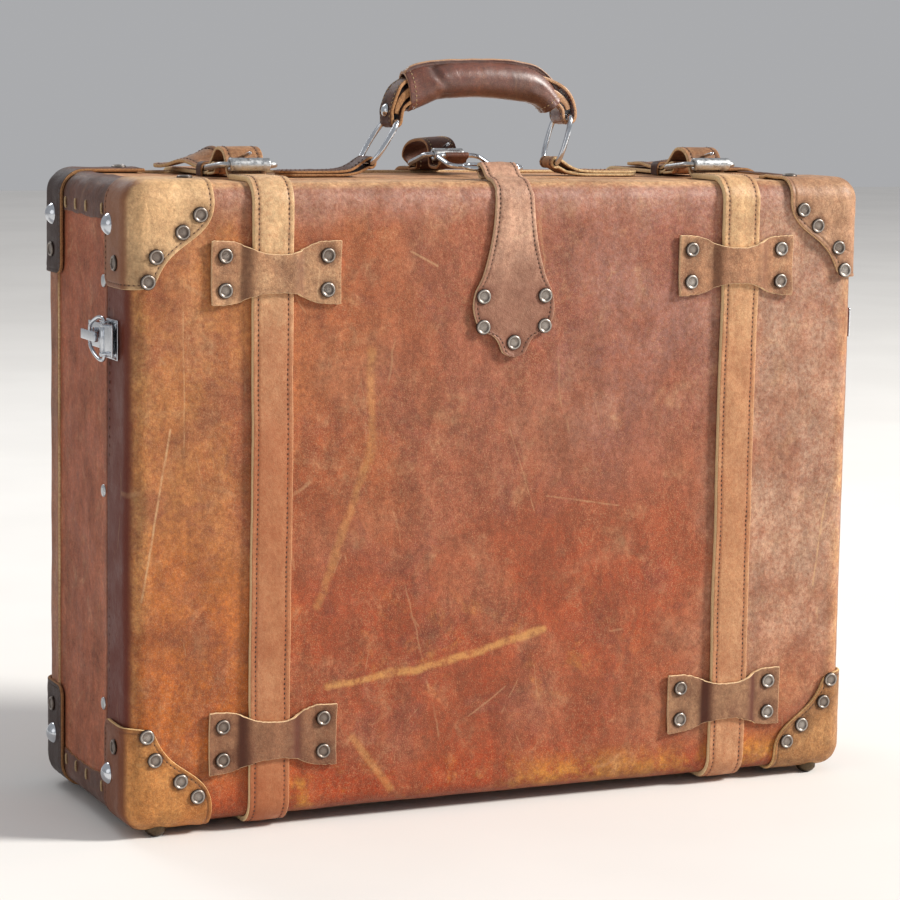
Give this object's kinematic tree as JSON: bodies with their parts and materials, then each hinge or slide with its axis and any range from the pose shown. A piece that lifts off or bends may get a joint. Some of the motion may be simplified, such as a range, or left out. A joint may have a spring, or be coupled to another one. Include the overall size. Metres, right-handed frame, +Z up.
{
  "type": "leather suitcase",
  "caption": "Upright leather-covered suitcase with a front lid hinged along its bottom edge, buckled straps, riveted corner guards and a ring-hung top handle.",
  "frame": {"origin": "on the floor under the middle of the case, at the centre of the bounding box's bottom face", "axes": "+X from the left end to the right end seen from the front, +Y from the lid at the front towards the back, +Z up towards the handle"},
  "size_m": [0.5988, 0.2098, 0.5455],
  "materials": {
    "panel_leather": "waxed pull-up leather, brown-orange, worn and scratched",
    "side_leather": "dark red-brown leather, aged",
    "guard_leather": "tan leather with pale cut edges and stitching",
    "rear_guard_leather": "dark brown leather, worn",
    "strap_leather": "tan bridle leather, stitched along both edges",
    "keeper_leather": "brown leather, rough pale cut edges",
    "dark_leather": "dark brown leather, oiled",
    "grip_leather": "polished brown leather, stitched along the top",
    "board": "pressed fibre board, uncoated",
    "lining": "plain woven cotton, pasted down",
    "bright_steel": "nickel plated, polished",
    "antique_metal": "antique nickel, dulled",
    "hinge_metal": "dull plated steel",
    "foot_metal": "dark antique plated steel"
  },
  "bodies": {
    "case": {"case_board": "board", "case_lining": "lining", "case_cover": "side_leather", "back_wrap": "side_leather", "closing_lip": "guard_leather", "end_flaps": "side_leather", "case_rivets": "antique_metal", "guards_rear_left": "rear_guard_leather", "guards_rear_right": "rear_guard_leather", "rear_studs": "bright_steel", "rear_feet": "foot_metal", "strap_rear_left": "strap_leather", "strap_rear_right": "strap_leather", "keepers_rear": "keeper_leather", "strap_tail_left": "strap_leather", "strap_tail_right": "strap_leather", "strap_loops": "dark_leather", "chape_left": "keeper_leather", "chape_right": "keeper_leather", "latch_catches": "bright_steel", "hinge_leaves_case": "hinge_metal", "hinge_pins": "hinge_metal", "clasp_strap": "dark_leather", "clasp_billet": "dark_leather"},
    "lid": {"lid_board": "board", "lid_lining": "lining", "lid_cover": "panel_leather", "hasp_tab": "panel_leather", "lid_rivets": "antique_metal", "strap_front_left": "strap_leather", "strap_front_right": "strap_leather", "keepers_front": "keeper_leather", "guard_front_top_left": "guard_leather", "guard_front_top_right": "guard_leather", "guard_front_bottom_left": "guard_leather", "guard_front_bottom_right": "guard_leather", "front_studs": "bright_steel", "front_feet": "foot_metal", "latch_bases": "bright_steel", "hinge_leaves_lid": "hinge_metal"},
    "ring_left": {"ring_left": "bright_steel"},
    "ring_right": {"ring_right": "bright_steel"},
    "handle": {"grip": "grip_leather", "handle_strap": "dark_leather", "handle_rivets": "antique_metal"},
    "buckle_left": {"buckle_frame_left": "bright_steel"},
    "buckle_right": {"buckle_frame_right": "bright_steel"},
    "prong_left": {"buckle_prong_left": "bright_steel"},
    "prong_right": {"buckle_prong_right": "bright_steel"},
    "roller_left": {"buckle_roller_left": "bright_steel"},
    "roller_right": {"buckle_roller_right": "bright_steel"},
    "clasp_buckle": {"clasp_frame": "bright_steel"},
    "clasp_prong": {"clasp_prong": "bright_steel"},
    "clasp_roller": {"clasp_roller": "bright_steel"},
    "hasp_ring": {"hasp_ring": "bright_steel"},
    "clasp_ring": {"clasp_ring": "bright_steel"},
    "lever_left": {"latch_lever_left": "bright_steel"},
    "lever_right": {"latch_lever_right": "bright_steel"},
    "bail_left": {"latch_bail_left": "bright_steel"},
    "bail_right": {"latch_bail_right": "bright_steel"}
  },
  "joints": [
    {"name": "lid_hinge", "type": "hinge", "parent": "case", "child": "lid", "pos_m": [0, -0.05, 0.005], "axis": [1, 0, 0], "range_deg": [0, 80]},
    {"name": "ring_left_hinge", "type": "hinge", "parent": "case", "child": "ring_left", "pos_m": [-0.0758, 0, 0.4695], "axis": [0, 1, 0], "range_deg": [-55, 8]},
    {"name": "ring_right_hinge", "type": "hinge", "parent": "case", "child": "ring_right", "pos_m": [0.0758, 0, 0.4695], "axis": [0, 1, 0], "range_deg": [-55, 9]},
    {"name": "handle_hinge", "type": "hinge", "parent": "ring_left", "child": "handle", "pos_m": [-0.05587, 0, 0.5002], "axis": [0, 1, 0], "range_deg": [-9, 60]},
    {"name": "buckle_left_hinge", "type": "hinge", "parent": "case", "child": "buckle_left", "pos_m": [-0.186, -0.017, 0.4665], "axis": [1, 0, 0], "range_deg": [-8, 0]},
    {"name": "prong_left_hinge", "type": "hinge", "parent": "buckle_left", "child": "prong_left", "pos_m": [-0.186, -0.017, 0.4665], "axis": [1, 0, 0], "range_deg": [-12, 0]},
    {"name": "roller_left_spin", "type": "hinge", "parent": "buckle_left", "child": "roller_left", "pos_m": [-0.186, -0.051, 0.47], "axis": [1, 0, 0], "continuous": true},
    {"name": "buckle_right_hinge", "type": "hinge", "parent": "case", "child": "buckle_right", "pos_m": [0.186, -0.017, 0.4665], "axis": [1, 0, 0], "range_deg": [-8, 0]},
    {"name": "prong_right_hinge", "type": "hinge", "parent": "buckle_right", "child": "prong_right", "pos_m": [0.186, -0.017, 0.4665], "axis": [1, 0, 0], "range_deg": [-12, 0]},
    {"name": "roller_right_spin", "type": "hinge", "parent": "buckle_right", "child": "roller_right", "pos_m": [0.186, -0.051, 0.47], "axis": [1, 0, 0], "continuous": true},
    {"name": "clasp_buckle_hinge", "type": "hinge", "parent": "case", "child": "clasp_buckle", "pos_m": [0, 0.054, 0.4665], "axis": [1, 0, 0], "range_deg": [-8, 0]},
    {"name": "clasp_prong_hinge", "type": "hinge", "parent": "clasp_buckle", "child": "clasp_prong", "pos_m": [0, 0.054, 0.4665], "axis": [1, 0, 0], "range_deg": [-12, 0]},
    {"name": "clasp_roller_spin", "type": "hinge", "parent": "clasp_buckle", "child": "clasp_roller", "pos_m": [0, 0.022, 0.4745], "axis": [1, 0, 0], "continuous": true},
    {"name": "hasp_ring_hinge", "type": "hinge", "parent": "lid", "child": "hasp_ring", "pos_m": [0, -0.066, 0.4675], "axis": [1, 0, 0], "range_deg": [0, 60]},
    {"name": "clasp_ring_hinge", "type": "hinge", "parent": "case", "child": "clasp_ring", "pos_m": [0, 0.005, 0.4745], "axis": [1, 0, 0], "range_deg": [-40, 0]},
    {"name": "lever_left_hinge", "type": "hinge", "parent": "lid", "child": "lever_left", "pos_m": [-0.2943, -0.055, 0.35], "axis": [0, 0, -1], "range_deg": [0, 110]},
    {"name": "bail_left_hinge", "type": "hinge", "parent": "lever_left", "child": "bail_left", "pos_m": [-0.2967, -0.064, 0.35], "axis": [0, 0, -1], "range_deg": [-130, 0]},
    {"name": "lever_right_hinge", "type": "hinge", "parent": "lid", "child": "lever_right", "pos_m": [0.2943, -0.055, 0.35], "axis": [0, 0, 1], "range_deg": [0, 110]},
    {"name": "bail_right_hinge", "type": "hinge", "parent": "lever_right", "child": "bail_right", "pos_m": [0.2967, -0.064, 0.35], "axis": [0, 0, 1], "range_deg": [-130, 0]}
  ],
  "couplings": [
    {"joint": "ring_right_hinge", "follows": "ring_left_hinge", "ratio": 0.9817},
    {"joint": "handle_hinge", "follows": "ring_left_hinge", "ratio": -1.0716},
    {"joint": "bail_left_hinge", "follows": "lever_left_hinge", "ratio": -1.15},
    {"joint": "bail_right_hinge", "follows": "lever_right_hinge", "ratio": -1.15}
  ]
}
